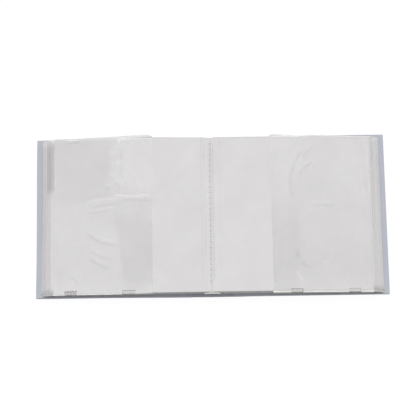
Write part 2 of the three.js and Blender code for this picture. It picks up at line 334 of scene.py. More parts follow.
def coverMaterial():
    # Fine pebbled grain: small cells of uneven size over crossed threads, with smudges of handling a few
    # centimetres wide and worn edges.
    material, g, shader, where = newMaterial("covering_paper")
    cells = g.node("TexVoronoi", feature="SMOOTH_F1")
    g.fill(cells, {"Vector": where, "Scale": 1500.0})
    warp = g.noise(g.stretched(where, (500, 3800, 500)), 1.0, 2.0, 0.5)
    weft = g.noise(g.stretched(where, (3800, 500, 500)), 1.0, 2.0, 0.5)
    height = g.plus(g.times(cells.outputs["Distance"], -0.7), g.times(g.plus(warp, weft), 0.45))
    patches = g.plus(g.noise(where, 70.0, 4.0, 0.6), -0.5)
    grain = g.plus(g.times(patches, 0.9), g.times(g.plus(warp, -0.5), 0.6))
    slow = g.mapRange(g.noise(where, 22.0, 3.0, 0.5), 0.48, 0.72)
    fine = g.mapRange(g.noise(where, 380.0, 3.0, 0.6), 0.35, 0.7)
    broken = g.mapRange(g.noise(where, 900.0, 4.0, 0.65), 0.35, 0.75)
    tone = g.mix(g.plus(g.times(grain, 0.55), 0.5, clamp=True), "coverDark", "coverPale")
    tone = g.mix(g.times(g.times(slow, fine), 0.35), tone, "coverSmudge")
    tone = g.mix(g.times(g.times(g.attribute("wear"), broken), 0.55), tone, "coverWorn")
    rough = g.mapRange(grain, -0.4, 0.4, 0.5, 0.68)
    normal = g.bump(height, 0.4, 0.00010)
    g.fill(shader, {"Base Color": tone, "Roughness": rough, "Specular IOR Level": 0.35, "Normal": normal})
    return material


def boardMaterial():
    material, g, shader, where = newMaterial("greyboard")
    flecks = g.noise(g.stretched(where, (700, 700, 3500)), 1.0, 4.0, 0.65)
    tone = g.mix(g.mapRange(flecks, 0.3, 0.7), "boardDark", "boardPale")
    g.fill(shader, {"Base Color": tone, "Roughness": 0.93, "Normal": g.bump(flecks, 0.5, 0.00015)})
    return material


def filmMaterial(name, clear, hazeAndReflection, rough):
    # Thin clear film: mostly see-through, milky in its welds, grey in its crimped marks. Its tone carries
    # painted reflections, a painted highlight along the folded fore-edge and painted shadow along the
    # crimped marks' edges.
    material, g, shader, where = newMaterial(name)
    weldAndHighlight = g.attribute("weldAndHighlight")
    crimpAndShadow = g.attribute("crimpAndShadow")
    streaks = g.noise(g.stretched(where, (60, 9, 60)), 1.0, 3.0, 0.55)
    dust = g.mapRange(g.noise(where, 1500.0, 2.0, 0.6), 0.68, 0.8)
    alpha = g.mapRange(streaks, 0.3, 0.7, clear * 0.93, clear * 1.07)
    alpha = g.plus(alpha, g.times(weldAndHighlight, hazeAndReflection), clamp=True)
    alpha = g.math("MAXIMUM", alpha, g.times(crimpAndShadow, 0.8))
    alpha = g.plus(alpha, g.times(dust, 0.03), clamp=True)
    # Painted reflection from the attribute, with random streaks on it
    level = g.plus(g.attribute("hazeAndReflection"), g.mapRange(streaks, 0.3, 0.7, -0.08, 0.08))
    tone = g.mix(g.mapRange(level, -3.2, 0.65), "filmReflectionDark", "filmReflectionPale")
    tone = g.mix(weldAndHighlight, tone, "filmWeldAndHighlight")
    tone = g.mix(crimpAndShadow, tone, "filmCrimpShadow")
    normal = g.bump(g.noise(where, 260.0, 2.0, 0.5), 0.12, 0.0001)
    g.fill(shader, {"Base Color": tone, "Alpha": alpha, "Roughness": rough, "IOR": 1.5, "Normal": normal})
    return material


def threadMaterial():
    material, g, shader, where = newMaterial("thread")
    # Painted shade in the grooves between the plies
    tone = g.mix(g.attribute("plyGrooveShade"), "threadGrooveShade", "threadPale")
    normal = g.bump(g.noise(where, 6000.0, 3.0, 0.6), 0.5, 0.00005)
    g.fill(shader, {"Base Color": tone, "Roughness": 0.72, "Sheen Weight": 0.25, "Normal": normal})
    return material


def liningMaterial():
    # Open-woven cloth under glued paper.
    material, g, shader, where = newMaterial("lining_cloth")
    threads = [g.node("TexWave", wave_type="BANDS", bands_direction=axis) for axis in ("X", "Y")]
    for made in threads:
        g.fill(made, {"Vector": where, "Scale": 190.0, "Distortion": 0.6, "Detail": 1.0})
    weave = g.math("MAXIMUM", *(made.outputs["Fac"] for made in threads))
    tone = g.mix(weave, "liningDark", "liningPale")
    g.fill(shader, {"Base Color": tone, "Roughness": 0.9, "Normal": g.bump(weave, 0.5, 0.00012)})
    return material


pageMarks = (("scoreAndGutterShade", "pageScoreShade", 0.55), ("holeDentAndShade", "pageHoleShade", 1.0), ("edgeTone", "pageEdgeTone", 0.8))
sheetMarks = (("edge", "sheetEdge", 0.5), ("shade", "sheetShade", 0.6))
finishes = {
    "cover": coverMaterial(),
    "board": boardMaterial(),
    "page": paperMaterial("page_paper", "page", pageMarks, fibre=0.4, cloud=1.3),
    "sheet": paperMaterial("sheet_paper", "sheet", sheetMarks),
    "paste": paperMaterial("pasted_paper", "paste", fibre=0.14, cloud=0.12),
    "pocket": filmMaterial("pocket_film", clear=0.16, hazeAndReflection=0.68, rough=0.2),
    "stackFilm": filmMaterial("stack_film", clear=0.05, hazeAndReflection=0.35, rough=0.25),
    "thread": threadMaterial(),
    "lining": liningMaterial(),
}
print("materials made:", len(finishes))


def dress(piece, finish, body, slot, *replaced):
    piece.data.materials.clear()
    piece.data.materials.append(finishes[finish])
    if body:
        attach(piece, body)
    if replaced:
        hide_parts(*replaced)
    return piece


# Case: one covering over boards and spine, pressed into a groove beside each board

case = {
    "reach": 176.0,
    "half": 82.75,
    "coverTop": 2.9,
    "spineTop": 2.7,
    "jointTop": 0.6,
    "spineEdge": 12.0,  # where the spine board ends
    "boardEdge": 20.7,
    "bend": (0.0122, 0.0150),  # metres from the middle, between which the covering bends
    "grooveRise": 1.0,
    "turnIn": 15.0,
    "edgeRound": 0.7,
    "cornerRound": 0.9,
    "skin": 0.3,
    "mitreSpan": 100.0,
    "lean": 1.3,  # the left cover's fore-edge stands out this much more at the head
    "headOut": 0.95,  # the right cover's head edge stands out this much more past the memo strip
    "foreOut": 0.4,  # the right cover's fore-edge stands out this much
    "tailOut": 0.6,  # the tail edge of both covers bows out this much at the spine
}


def caseSide(name, mirrored):
    # A profile from the middle of the underside out to the edge, round it and in over the board as the
    # turn-in, carried along tail edge, corner, fore-edge, corner and head edge with mitred corners.
    reach, half, corner, edge = case["reach"], case["half"], case["cornerRound"], case["edgeRound"]
    under = [half, 60, 40, 25, 15, 8, 4, 2, 1.3, edge]
    over = [edge, 1.3, 2, 3, 4.5, 7, 10, 13, case["turnIn"] - 0.4, case["turnIn"]]
    turn = np.radians(np.linspace(-75, 75, 11))
    inset = np.concatenate([under, edge - edge * np.cos(turn), over])
    roundShare = 0.5 + 0.5 * np.sign(turn) * (0.52 + 0.48 * np.abs(np.sin(turn)))
    share = np.concatenate([np.zeros(len(under)), roundShare, np.ones(len(over))])
    share[-1] = 0.93  # the cut end of the turn-in lies a little lower
    stretches = [(0, 11, 8), (11.4, 22, 54), (24, 70, 14), (76, reach - corner, 26)]  # from, to, count
    edgeX = np.concatenate([np.linspace(*stretch) for stretch in stretches])
    arc = np.radians(np.linspace(0, 90, 7))[1:-1, None]
    sideY = np.linspace(-(half - corner), half - corner, 48)

    def bend(x, d):
        # Past the mitre span, x runs in proportion so that it ends on the mitre line
        start = reach - case["mitreSpan"]
        limit = reach - np.maximum(d, corner)
        return np.where(x > start, start + (x - start) * (limit - start) / (reach - corner - start), x)

    deep = np.maximum(corner - inset, 0)
    centreX = reach - np.maximum(inset, corner)
    centreY = half - np.maximum(inset, corner)
    tail = joined(bend(edgeX[:, None], inset), inset - half)
    arcOne = joined(centreX + deep * np.sin(arc), -centreY - deep * np.cos(arc))
    fore = joined(reach - inset, sideY[:, None] * centreY / (half - corner))
    flat = np.concatenate([tail, arcOne, fore, (arcOne * [1, -1])[::-1], (tail * [1, -1])[::-1]])
    x, y = flat[..., 0], flat[..., 1]
    spine = 1 - ease(case["spineEdge"] - 0.2, case["spineEdge"] + 0.9, x)
    board = ease(case["boardEdge"] - 0.9, case["boardEdge"] + 0.3, x)
    groove = case["grooveRise"] * (1 - spine) * (1 - board)
    top = spine * case["spineTop"] + board * case["coverTop"] + (1 - spine - board) * case["jointTop"]
    shares = np.broadcast_to(share, x.shape)
    z = groove + shares * top
    # Loosely drawn paper: slight hollows along the turn-in and the edges
    z += np.where(shares > 0.9, ripple(x, y, [(37, 10, 0.02, 0.3), (23, 80, 0.02, 1.1)]), 0)
    distance = np.minimum(reach - x, half - np.abs(y))
    wear = bell(distance, 0.9) * np.where(np.abs(shares - 0.5) < 0.49, 1.0, 0.6)
    cornerWear = np.exp(-(((reach - x) ** 2 + (half - np.abs(y)) ** 2) / 9.0))
    wear = np.clip(wear * 0.55 + cornerWear, 0, 1)
    if mirrored:
        x = x + case["lean"] * ease(-60, 83, y) * ease(60, reach, x)
    else:
        y = y + case["headOut"] * ease(38, 80, x) * ease(20, 83, y)
        x = x + case["foreOut"] * ease(60, reach, x)
    bowed = 1 - (1.0 if mirrored else 0.45) * ease(15, 110 if mirrored else 50, np.abs(x))
    y = y - case["tailOut"] * bowed * ease(-40, -80, y)
    piece = gridPiece(name, mirrored, [joined(x, y, z)], {"wear": wear}, merge=True)
    thick = piece.modifiers.new("skin", "SOLIDIFY")
    thick.thickness = case["skin"] * millimetre
    thick.offset = -1
    graph = bpy.context.evaluated_depsgraph_get()
    solid = bpy.data.meshes.new_from_object(piece.evaluated_get(graph))
    piece.modifiers.clear()
    piece.data = solid
    return piece


for side, mirrored in sides:
    piece = caseSide("case_" + side, mirrored)
    stoodFor = ["left_covering"] if mirrored else ["right_covering", "spine_covering"]
    dress(piece, "cover", None, "covering_paper", *stoodFor)
    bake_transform(piece)
print("case made")

for name in ("left_board", "right_board", "spine_board", "spine_liner"):
    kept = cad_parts[name].data.materials
    kept.clear()
    kept.append(finishes["paste" if name == "spine_liner" else "board"])

paste = {"foreX": 170.8, "wave": 0.03}


def pastedPaper(side, mirrored):
    # A sheet over the box of the solid pastedown, ended just under the block, with faint waves from the glue
    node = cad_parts[side + "_pastedown"]
    corners = np.array([node.matrix_world @ v.co for v in node.data.vertices]) / millimetre
    low, high = corners.min(0), corners.max(0)
    x0, x1 = -high[0] if mirrored else low[0], paste["foreX"]
    x, y = np.meshgrid(np.linspace(x0, x1, 60), np.linspace(low[1], high[1], 50), indexing="ij")
    wave = paste["wave"] * np.sin(x / 7.1) * np.sin(y / 9.3 + x / 31) * ease(0, 4, x1 - x)
    return sideSheet(side + "_pasted_paper", mirrored, x, y, high[2] + wave - paste["wave"], low[2])


for side, mirrored in sides:
    dress(pastedPaper(side, mirrored), "paste", side + "_cover", "white_paper", side + "_pastedown")


# Leaf blocks: folded sheets with their clear pockets

sheetLook = {
    "leafSteps": 36,
    "foldSteps": 12,
    "acrossSteps": 26,
    "foreJitter": 0.30,
    "skewJitter": 0.25,
    "headJitter": 0.22,
    "leafHeadJitter": 0.08,
    "marginJitter": 0.25,
    "gatheringJitter": 0.45,
    "headFall": 1.2,
    "lean": 0.8,  # how far the left block leans out at the head
    "shades": ((0.75, 0), (0.75, 0), (0.3, 0.95), (0.35, 1.3)),  # all along, and more near the head
}
slowWaves = [(95, 82, 0.10, 0.4), (140, 65, 0.08, 2.1), (61, 100, 0.05, 1.3)]


def headFall(x, share):
    # How far a leaf's head falls towards the fore-edge; share is 0 in the middle and 1 at the head
    return sheetLook["headFall"] * np.maximum(share, 0) ** 2 * ease(60, 160, x)


def waveWeight(grid):
    # Waves grow with the height in the block, so that stacked sheets keep apart.
    return np.clip((grid[..., 2] - block["inside"]) / block["height"], 0, 1)


def foreShade(mirrored, rank, x, y):
    # Painted shade on the left block's leaves: on the lower gatherings all over, on the upper ones at the
    # fore-edge
    if not mirrored:
        return np.zeros(x.shape)
    low, more = sheetLook["shades"][rank]
    if rank < 2:
        return np.full(x.shape, low)
    return (low + more * ease(20, 29, y)) * ease(156, 158.5, x)


def foldedSheet(name, mirrored, rank, middle, radius, offsets):
    # One folded sheet: a line along the upper leaf, a half circle round the fold and a line out along the
    # lower leaf, carried from tail to head; offsets are (fore-edge, skew, head) of each leaf.
    across = np.linspace(-1, 1, sheetLook["acrossSteps"])
    t = np.linspace(0, 1, sheetLook["leafSteps"] + 1)[1:, None]
    angle = np.radians(np.linspace(90, 270, sheetLook["foldSteps"] + 1))[:, None]
    heads = np.linspace(offsets[0][2], offsets[1][2], len(angle))[:, None]
    tall = block["halfHeight"]
    grids = []
    for outward in (1, -1):
        rows = []
        for up, (fore, skew, head) in zip((1, -1), offsets):
            height = middle + up * radius
            lift = up * outward * block["paper"] / 2
            steps = t[::-1] if up > 0 else t
            x = foldX(height + lift) + block["leafLength"] * steps + steps**2 * (fore + skew * across)
            y = across * tall + head - headFall(x, across)
            rows.append(joined(x, y, layerZ(x, height) + lift))
        reach = radius + outward * block["paper"] / 2
        height = middle + reach * np.sin(angle)
        x = foldX(height) + reach * np.cos(angle)
        fold = joined(x, across * tall + heads, layerZ(x, height))
        grids.append(np.concatenate([rows[0], fold, rows[1]]))
    x, y = grids[0][..., 0], grids[0][..., 1]
    shade = foreShade(mirrored, rank, x, y)
    wave = ripple(x, y, slowWaves) * waveWeight(grids[0])
    toEdge = np.minimum(tall - np.abs(across) * tall, 4)
    edge = np.broadcast_to(bell(toEdge, 0.5), x.shape)
    for grid in grids:
        grid[..., 2] += wave
        if mirrored:
            grid[..., 0] *= -1
    return closedSheet(name, *grids, {"edge": edge, "shade": shade}, flip=not mirrored)


pocket = {
    "mouth": 59.6,
    "past": 1.4,  # how far the film stands past the paper
    "wall": 80.55,  # where the welds begin
    "stackOffset": 0.100,
    "pageOffset": 0.145,
    "stackFlutter": 0.16,
    "puff": 0.10,  # how far the upper films bulge in the middle
    "flutter": (0.13, 0.06),  # of their margins, slow and quick
    "mouthLift": 0.5,  # of the left film's head margin near its mouth
    "ragged": 0.16,  # steps along the cut edge of a notch
}


def stackPockets(name, mirrored, leaves):
    # Clear films round several leaves: a loop in from the mouth, round the fore-edge and back, pinched
    # together past the paper at head and tail. Each leaf is (height, fore, skew, head, margin).
    grids, welds = [], []
    wall, mouth, offset, tall = pocket["wall"], pocket["mouth"], pocket["stackOffset"], block["halfHeight"]
    steps = np.linspace(0, 1, 30)[:, None]
    turn = np.radians(np.linspace(90, -90, 7))[1:-1, None]
    for height, fore, skew, head, margin in leaves:
        end = tall + pocket["past"] + margin
        tail = wall + (0.2 if mirrored else 0.6) + 0.4 * abs(margin)
        inner = np.linspace(-wall + 0.3, wall - 0.3, 17)
        y = np.concatenate([[-tail, -(tail + wall) / 2, -wall - 0.1], inner,
                            [wall + 0.1, (end + wall) / 2, end]])
        openness = np.where(np.abs(y) < wall, 1.0, 0.12)
        foreX = foldX(height) + block["leafLength"] + fore + skew * y / 80 + 0.03
        x = mouth + (foreX - mouth) * steps
        upper = joined(x, y + head - headFall(x, y / tall), layerZ(x, height) + offset * openness)
        lower = upper.copy()
        lower[..., 2] -= 2 * offset * openness
        x = foreX + offset * np.cos(turn)
        z = layerZ(foreX, height) + offset * np.sin(turn) * openness
        fold = joined(x, y + head - headFall(x, y / tall), z)
        grid = np.concatenate([upper, fold, lower[::-1]])
        past = ease(wall, end, np.abs(y))
        phase = height * 7 + np.sign(y) * 2
        flutter = pocket["stackFlutter"] * past * np.sin(grid[..., 0] / (9 + 4 * margin) + phase)
        grid[..., 2] += ripple(grid[..., 0], grid[..., 1], slowWaves) * waveWeight(grid) + flutter
        grid[..., 1] += 0.12 * past * np.sin(grid[..., 0] / 13 + height * 3)
        grids.append(grid)
        welds.append(np.broadcast_to(ease(wall - 0.6, wall - 0.2, np.abs(y)), grid.shape[:2]).ravel())
    weldAndHighlight = np.concatenate(welds)
    return gridPiece(name, mirrored, grids, {"weldAndHighlight": weldAndHighlight, "crimpAndShadow": np.zeros(weldAndHighlight.size)})


def jitter(key):
    return draw.uniform(-1, 1) * sheetLook[key]


for side, mirrored in sides:
    for rank in range(block["gatherings"]):
        body = side + "_gathering_" + str(rank + 1)
        middle = block["clear"] + rank * (gatheringThick + block["gatheringGap"]) + gatheringThick / 2
        lean = sheetLook["lean"] if mirrored else 0
        foreShift = jitter("gatheringJitter")
        headShift = jitter("headJitter")
        leaves = []
        for nest in range(block["sheets"]):
            radius = (block["sheets"] - nest - 0.5) * block["pitch"]
            offsets = []
            for up in (1, -1):
                fore = foreShift + jitter("foreJitter") + lean
                skew = jitter("skewJitter") + lean
                head = headShift + jitter("leafHeadJitter")
                margin = jitter("marginJitter")
                offsets.append((fore, skew, head))
                leaves.append((middle + up * radius, fore, skew, head, margin))
            name = f"{side}_sheet_{rank * block['sheets'] + nest + 1:02d}"
            piece = foldedSheet(name + "_paper", mirrored, rank, middle, radius, offsets)
            dress(piece, "sheet", body, "white_paper", name)
        films = stackPockets(body + "_pockets", mirrored, leaves)
        stoodFor = ["right_next_film"] if body == "right_gathering_4" else []
        dress(films, "stackFilm", body, "clear_film", *stoodFor)
print("leaf blocks made")


# Open spread

spread = {
    "spineX": 0.065,  # where each page begins, from the middle of the spine
    "dip": 0.14,
    "lean": (1.2, 1.0),  # how far the head of the fore-edge stands out, left and right
    "fall": 0.7,  # how far the right page's head falls at the fore-edge
    "notch": 1.2,  # how far both heads fall beside the gutter
    "headRise": 1.1,  # of the left page away from the gutter
    "holeWidth": 0.5,
    "holeDepth": 0.10,
    # painted shade down the gutter
    "gutterShade": 0.04,
    "nearTo": 4,  # close columns of the page end here, and the next ones at fineTo
    "fineTo": 12,
    "columnStep": 0.22,
    "waveStart": 12,
    "foldTo": 4.9,  # the right leaf's fold strip ends here, and its guard strips at guardTo
    "guardTo": 8.4,
    "leftForeX": 157.9,
    "rightForeX": 160.1,
    "stitchLeft": 1.3,
    "stitchRight": 1.9,
    "pitch": 5.7,  # from stitch to stitch
    "over": 3.0,  # length of a stitch on top
    "margin": 5.0,  # without stitches at both ends
    "holeShades": (0.15, 1.0, 0.35),  # tail end of every stitch, head end on the left and on the right
    "threadBend": 0.315,
    "threadRadius": 0.2,
    "threadStep": 0.16,
    "twistLength": 2.2,
    "threadPress": 0.46,  # how flat the thread is pressed under the pages
    "scoreDepth": 0.16,
    "scoreWidth": 0.42,
}
pageWaves = [(150, 80, 0.12, 0.9), (72, 95, 0.06, 0.2), (45, 60, 0.03, 2.0)]


def pageWave(x, y):
    # Slow waves of the open pages, which die out at the spine
    return ripple(x, y, pageWaves) * ease(spread["waveStart"], spread["waveStart"] + 30, x)


def gutterDip(x):
    # How far the pages sink towards their middle: a soft step
    return spread["dip"] * (1 - ease(0, 3.4, x))


def pageLean(x, y, mirrored):
    # How far the fore-edge of a page stands out, and how far its head falls
    left, right = spread["lean"]
    out = (left if mirrored else right) * ease(-40, 82, y) * ease(100, 158, x)
    fall = 0.0 if mirrored else spread["fall"] * ease(55, 81, y) * ease(95, 160, x)
    notch = spread["notch"] * (1 - ease(0.3, 9.0 if mirrored else 3.0, x)) * ease(76, 80.2, y)
    return out, fall + notch


def stitchStarts(shift):
    room = 2 * block["halfHeight"] - 2 * spread["margin"] - abs(shift)
    count = int(room // spread["pitch"])
    first = -(count - 1) * spread["pitch"] / 2 + shift
    return first + spread["pitch"] * np.arange(count)


def holePlaces(shift):
    middle = stitchStarts(shift)
    edge = spread["over"] / 2
    return np.concatenate([middle - edge - spread["threadBend"], middle + edge + spread["threadBend"]])


def pageColumns(x0, x1):
    # Places of a page's columns: close as far as the last score line, then wider apart
    near, fine, step = spread["nearTo"], spread["fineTo"], spread["columnStep"]
    xs = [np.arange(x0, min(x1, near), step), np.arange(max(x0, near) + 0.25, min(x1, fine), step)]
    if x1 > fine:
        xs.append(fine + (x1 - fine) * np.linspace(0, 1, 52))
    return np.unique(np.concatenate([*xs, [x0, x0 + 0.04, max(x0, near), x1 - 0.04, x1]]))


def pagePaper(name, mirrored, x0, x1, stitchX, holes, scores):
    # Paper of the open spread: two faces that follow the block, with pressed score lines, dents round the
    # needle holes and slow waves. Close rows and columns beside the borders keep the faces flat up to there.
    half = block["halfHeight"]
    ys = np.append(np.linspace(-half, half, 440 if len(holes) else 90), [0.05 - half, half - 0.05])
    x, y = np.meshgrid(pageColumns(x0, x1), np.unique(ys), indexing="ij")
    dent = pageWave(x, y)
    scoreAndGutterShade = np.zeros(x.shape)
    for line, drift, strength in scores:
        centre = line + drift * (y + 80) / 160
        across = np.abs(x - centre)
        pressed = bell(across, spread["scoreWidth"])
        uneven = 0.75 + 0.25 * np.sin(y / 7.3 + line)
        # Painted shade along each pressed score line
        scoreAndGutterShade += pressed * uneven * strength
        dent = dent - spread["scoreDepth"] * pressed * strength
    holeDentAndShade = np.zeros(x.shape)
    # Painted shade in the needle holes, on the same mask as their dents
    for count, spot in enumerate(holes):
        away = np.hypot(x - stitchX, y - spot)
        low, left, right = spread["holeShades"]
        seen = low if count < len(holes) // 2 else left if mirrored else right
        holeDentAndShade = np.maximum(holeDentAndShade, seen * bell(away, spread["holeWidth"]))
    dent = dent - spread["holeDepth"] * holeDentAndShade - gutterDip(x)
    # Painted shade down the gutter, darker towards the head
    scoreAndGutterShade += spread["gutterShade"] * bell(x, 1.5) * (0.5 + 0.5 * ease(-80, 80, y))
    head = spread["headRise"] * ease(10, 60, x) * ease(55, 80, y) if mirrored else 0.0
    base = layerZ(x, pageBottom) + dent
    out, fall = pageLean(x, y, mirrored)
    toEdge = np.minimum(half - np.abs(y), 5)
    # Darker and warmer along the head and tail edges
    edgeTone = 0.6 * bell(toEdge, 0.35)
    marks = {"scoreAndGutterShade": scoreAndGutterShade, "holeDentAndShade": holeDentAndShade, "edgeTone": edgeTone}
    return sideSheet(name, mirrored, x + out, y + head - fall, base + block["paper"], base, marks)


leftHoles = holePlaces(0)
rightHoles = holePlaces(spread["pitch"] / 2)
# Score lines, each (x, drift from tail to head, strength)
leftScores = [(5.9, 1.6, 0.5), (9.0, 1.0, 0.5)]
rightScores = [(7.3, 0.3, 0.2), (9.5, 0.4, 0.25)]
foldScores = [(2.5, 0, 0.05), (3.4, 0.2, 0.12)]
piece = pagePaper("left_page_paper", True, spread["spineX"], spread["leftForeX"], spread["stitchLeft"],
                  leftHoles, leftScores)
dress(piece, "page", "left_leaf", "white_paper", "left_page")

# The right leaf in three papers, each (name, its ends, holes, scores, nodes, bodies, metres of the bend)
rightPapers = [
    ("right_fold_paper", (spread["spineX"], spread["foldTo"]), rightHoles, foldScores, ["right_fold"],
     ("right_fold", "right_guard_inner"), (0.0023, 0.0027)),
    ("right_guard_paper", (spread["foldTo"], spread["guardTo"]), [], rightScores,
     ["right_guard_inner", "right_guard_outer"],
     ("right_guard_inner", "right_guard_outer"), (0.0071, 0.0075)),
    ("right_page_paper", (spread["guardTo"], spread["rightForeX"]), [], rightScores, ["right_page"],
     ("right_guard_outer", "right_leaf"), (0.0093, 0.0097)),
]
for name, ends, holes, scores, nodes, bodies, bend in rightPapers:
    piece = pagePaper(name, False, *ends, spread["stitchRight"], holes, scores)
    dress(piece, "page", None, "white_paper", *nodes)
    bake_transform(piece)
print("open pages made")


# Clear pockets of the open pages

# Each crease is painted reflection (lighter above zero, darker below zero), width, height, then x and y of
# each point
leftCreases = [
    (1.5, 1.3, 0.35, 100, 20, 83, 18, 59, 19),
    (-0.9, 1.0, -0.05, 90, 15, 73, 15, 59, 14),
    (0.9, 1.3, 0.30, 126, 12, 117, 15, 104, 16, 93, 16),
    (-1.0, 1.0, -0.05, 124, 7, 112, 10, 93, 12),
    (0.6, 0.9, 0.16, 116, 6, 104, 7, 94, 8),
    (-1.0, 1.0, -0.04, 124, 2, 113, 3, 100, 6),
    (-1.3, 1.1, -0.06, 125, -18, 119, -24, 110, -29, 94, -32),
    (0.3, 1.4, 0.28, 125, -15, 118, -21, 108, -26, 94, -29),
    (-0.8, 1.0, -0.05, 122, -36, 115, -41, 108, -44, 98, -45),
    (0.25, 1.3, 0.22, 122, -33, 114, -38, 106, -41),
    (-0.7, 1.2, -0.05, 92, -45, 78, -46),
    (-1.1, 1.1, -0.06, 124, -44, 115, -50, 106, -55, 101, -56),
    (0.25, 1.4, 0.25, 124, -41, 114, -47, 104, -52),
    (-1.2, 1.0, -0.04, 144, -63, 139, -64, 135, -68, 134, -75),
    (0.6, 3.0, 0.15, 141, -70, 138, -75),
    (0.9, 1.4, 0.25, 98, 36, 84, 35),
    (0.8, 1.6, 0.22, 102, 53, 90, 54),
    (-0.7, 1.8, -0.05, 90, 73, 91, 57, 90, 41, 84, 25),
    (0.5, 2.0, 0.30, 96, 73, 99, 64, 100, 51, 95, 43),
    (-0.6, 1.3, -0.04, 107, 26, 100, 29),
    (0.9, 1.2, 0.20, 103, 66, 96, 64),
    (-0.9, 1.0, -0.05, 100, 60, 97, 50),
    (0.9, 1.3, 0.20, 104, 44, 95, 40),
    (0.7, 1.2, 0.16, 108, 33, 100, 30),
    (-0.9, 1.0, -0.05, 96, 34, 92, 26),
    (0.9, 1.5, 0.20, 92, 78, 96, 70),
]
rightCreases = [
    (-0.62, 1.7, -0.04, 100, 72, 90, 61, 84, 49, 80, 39, 80, 26, 83, 11),
    (0.25, 2.0, 0.30, 103, 71, 94, 61, 88, 49, 84, 38),
    (-0.9, 1.1, -0.05, 104, 70, 97, 63, 92, 57),
    (0.5, 1.0, 0.25, 102, 56, 96, 49, 89, 40),
    (-1.2, 1.1, -0.05, 102, 52, 94, 47, 89, 39),
    (-0.6, 1.0, -0.03, 102, 7, 112, 7, 125, 7),
    (0.35, 1.2, 0.20, 95, 10, 110, 11, 126, 11),
    (-0.7, 3.2, -0.05, 83, -43, 88, -43),
    (-0.75, 1.3, -0.05, 87, -50, 93, -55, 98, -57),
    (0.9, 1.4, 0.25, 84, -60, 88, -67, 92, -74),
    (-0.5, 1.2, -0.03, 108, -48, 116, -46),
    (-0.4, 0.6, -0.03, 63, -14, 62, -72),
    (-0.35, 0.6, -0.03, 68, -14, 67, -72),
    (-0.5, 1.0, -0.04, 151, 72, 154, 65, 153, 57),
    (-0.4, 1.2, -0.04, 154, 37, 155, 29, 157, 23),
    (0.4, 1.4, 0.15, 150, 40, 152, 28),
]
leftPocket = {
    "contrast": 1.25,  # of the creases' painted reflections
    "cutDepth": 0.85,  # share of the margin that the notches take
    "mouth": 59.3,
    "foreX": spread["leftForeX"],
    "tail": [(59, -80.7), (72, -80.8), (84, -81.3), (158, -81.4)],
    "head": [(59, 82.1), (63, 83.8), (84, 83.6), (92, 83.1), (110, 82.3), (130, 81.9), (158, 81.3)],
    "cutTail": [(77.0, 89.5), (134.5, 146.0)],
    "cutHead": [(134.0, 145.0)],
    "tabsTail": [(76.0, 89.5, 0.9, 0.75), (134.5, 147.0, 0.1, 1.5)],  # low, high, painted shadow along the edge, hatch
    "tabsHead": [(80.8, 93.5, 0.0, 0.12), (133.0, 139.0, 0.3, 0.35), (139.0, 145.0, 0.0, 0.1)],
    "tabDepth": 3.6,
    "creases": leftCreases,
}
rightPocket = {
    "contrast": 1.9,
    "cutDepth": 0.5,
    "mouth": 60.6,
    "foreX": spread["rightForeX"],
    "tail": [(60, -81.9), (100, -82.0), (140, -82.3), (160, -82.3)],
    "head": [(60, 82.5), (70, 82.4), (77, 81.9), (90, 81.6), (104, 81.4), (140, 80.95), (160, 80.5)],
    "cutTail": [(77.5, 90.0), (135.5, 147.5)],
    "cutHead": [(80.5, 90.0), (136.5, 148.5)],
    "tabsTail": [(77.5, 90.0, 0.9, 0.7), (135.5, 147.5, 0.7, 0.4)],
    "tabsHead": [(80.5, 90.0, 0.0, 0.08), (136.5, 148.5, 0.15, 0.08)],
    "tabDepth": 2.6,
    "creases": rightCreases,
}


def crease(x, y, points):
    # Distance from a line of points, and how far inside its ends a place lies, from 0 to 1.
    away = np.full(x.shape, 1e9)
    inside = np.zeros(x.shape)
    lengths = np.hypot(*np.diff(points, axis=0).T)
    before = np.concatenate([[0], np.cumsum(lengths)])
    for (x0, y0), (x1, y1), length, start in zip(points[:-1], points[1:], lengths, before[:-1]):
        along = np.clip(((x - x0) * (x1 - x0) + (y - y0) * (y1 - y0)) / length**2, 0, 1)
        here = np.hypot(x - x0 - along * (x1 - x0), y - y0 - along * (y1 - y0))
        run = (start + along * length) / before[-1]
        inside = np.where(here < away, np.minimum(run, 1 - run), inside)
        away = np.minimum(away, here)
    return away, ease(-0.02, 0.16, inside)


def leftReflection(x, y):
    # Painted reflection: lighter and darker broad areas where the film lies against the paper or stands off
    # it.
    border = np.interp(y, [-80, -62, -50, -30, -11, 2, 20], [83, 89, 91, 93, 96, 99, 99])
    outside = ease(-2.5, 2.5, x - border)
    upper = ease(13, 16, y)
    dull = -0.55 * ease(97, 108, x) * upper
    bright = 0.8 * (1 - ease(86, 100, x)) * ease(20, 32, y)
    lowDull = -0.75 * (1 - outside) * (1 - ease(-14, 6, y)) * ease(-84, -66, y)
    middle = -0.15 * (1 - outside) * ease(-10, 6, y) * (1 - upper)
    low = 0.16 * outside * (1 - upper) + 0.6 * (1 - ease(-76, -62, y))
    return dull + bright + lowDull + middle + low


def rightReflection(x, y):
    # Painted reflection: lighter and darker areas of the right film on both sides of a winding border
    border = np.interp(y, [-80, -35, -25, -10, 11, 26, 39, 49, 61, 72],
                       [84, 90, 90, 87, 83, 80, 80, 84, 90, 100])
    outside = ease(-3, 3, x - border)
    near = np.interp(y, [-78, -60, -30, -10, 5, 20, 40, 78],
                     [-0.4, -0.85, -0.85, -0.75, -0.35, 0.2, 0.8, 0.9])
    far = np.interp(y, [-78, -65, -45, -20, 0, 40, 78], [0.15, -0.35, -0.4, -0.05, 0.15, 0.3, 0.45])
    return near * (1 - outside) + far * outside


